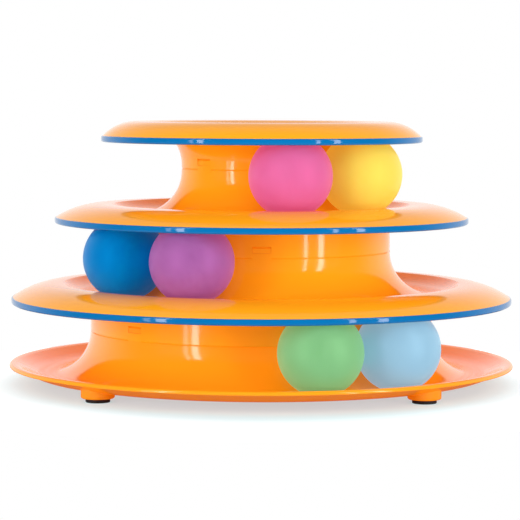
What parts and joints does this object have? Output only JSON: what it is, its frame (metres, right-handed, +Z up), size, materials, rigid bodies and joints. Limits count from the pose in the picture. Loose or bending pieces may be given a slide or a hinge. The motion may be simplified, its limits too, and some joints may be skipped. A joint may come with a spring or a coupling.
{
  "type": "cat ball track toy",
  "caption": "Tiered round tower of open ball tracks for a cat, with rolling balls in each track, beaded rims and rubber feet.",
  "frame": {"origin": "centre of the tower on the surface it stands on", "axes": "+Z up the tower's axis, front towards -Y, +X to the right seen from the front"},
  "size_m": [0.251, 0.251, 0.1308],
  "materials": {
    "black_rubber": "matte",
    "orange_plastic": "glossy",
    "blue_plastic": "glossy",
    "green_ball": "satin",
    "light_blue_ball": "satin",
    "purple_ball": "satin",
    "blue_ball": "satin",
    "pink_ball": "satin",
    "yellow_ball": "satin"
  },
  "bodies": {
    "tower": {"base_track": "orange_plastic", "middle_track": "orange_plastic", "upper_track": "orange_plastic", "top_cover": "orange_plastic", "lower_rim": "blue_plastic", "middle_rim": "blue_plastic", "upper_rim": "blue_plastic", "foot_pad_front_right": "black_rubber", "foot_pad_back_right": "black_rubber", "foot_pad_back_left": "black_rubber", "foot_pad_front_left": "black_rubber"},
    "green_ball": {"green_ball_front_half": "green_ball", "green_ball_back_half": "green_ball"},
    "light_blue_ball": {"light_blue_ball_front_half": "light_blue_ball", "light_blue_ball_back_half": "light_blue_ball"},
    "purple_ball": {"purple_ball_front_half": "purple_ball", "purple_ball_back_half": "purple_ball"},
    "blue_ball": {"blue_ball_front_half": "blue_ball", "blue_ball_back_half": "blue_ball"},
    "pink_ball": {"pink_ball_front_half": "pink_ball", "pink_ball_back_half": "pink_ball"},
    "yellow_ball": {"yellow_ball_front_half": "yellow_ball", "yellow_ball_back_half": "yellow_ball"}
  },
  "joints": [
    {"name": "green_ball_run", "type": "hinge", "parent": "tower", "child": "green_ball", "pos_m": [0, 0, 0.0263], "axis": [0, 0, 1], "continuous": true},
    {"name": "light_blue_ball_run", "type": "hinge", "parent": "green_ball", "child": "light_blue_ball", "pos_m": [0, 0, 0.0263], "axis": [0, 0, 1], "range_deg": [0, 316.1]},
    {"name": "purple_ball_run", "type": "hinge", "parent": "tower", "child": "purple_ball", "pos_m": [0, 0, 0.066], "axis": [0, 0, 1], "continuous": true},
    {"name": "blue_ball_run", "type": "hinge", "parent": "purple_ball", "child": "blue_ball", "pos_m": [0, 0, 0.066], "axis": [0, 0, 1], "range_deg": [-305, 0]},
    {"name": "pink_ball_run", "type": "hinge", "parent": "tower", "child": "pink_ball", "pos_m": [0, 0, 0.1057], "axis": [0, 0, 1], "continuous": true},
    {"name": "yellow_ball_run", "type": "hinge", "parent": "pink_ball", "child": "yellow_ball", "pos_m": [0, 0, 0.1057], "axis": [0, 0, 1], "range_deg": [0, 282.6]}
  ]
}
